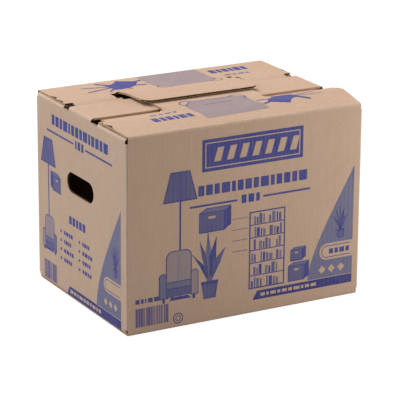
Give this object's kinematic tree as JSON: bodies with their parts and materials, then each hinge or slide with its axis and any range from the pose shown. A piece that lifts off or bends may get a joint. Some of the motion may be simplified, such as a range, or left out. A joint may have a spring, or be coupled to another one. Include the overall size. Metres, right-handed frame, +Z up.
{
  "type": "cardboard moving box",
  "caption": "Corrugated cardboard moving box, shut by its own interlocked top flaps, with an oval hand hole in each end.",
  "frame": {"origin": "centre of the base, on the surface that the box stands on", "axes": "+X along the long walls, -Y towards the front wall, +Z up"},
  "size_m": [0.4, 0.3, 0.3143],
  "materials": {
    "kraft": "matte"
  },
  "bodies": {
    "root": {"carton": "kraft"}
  },
  "joints": []
}
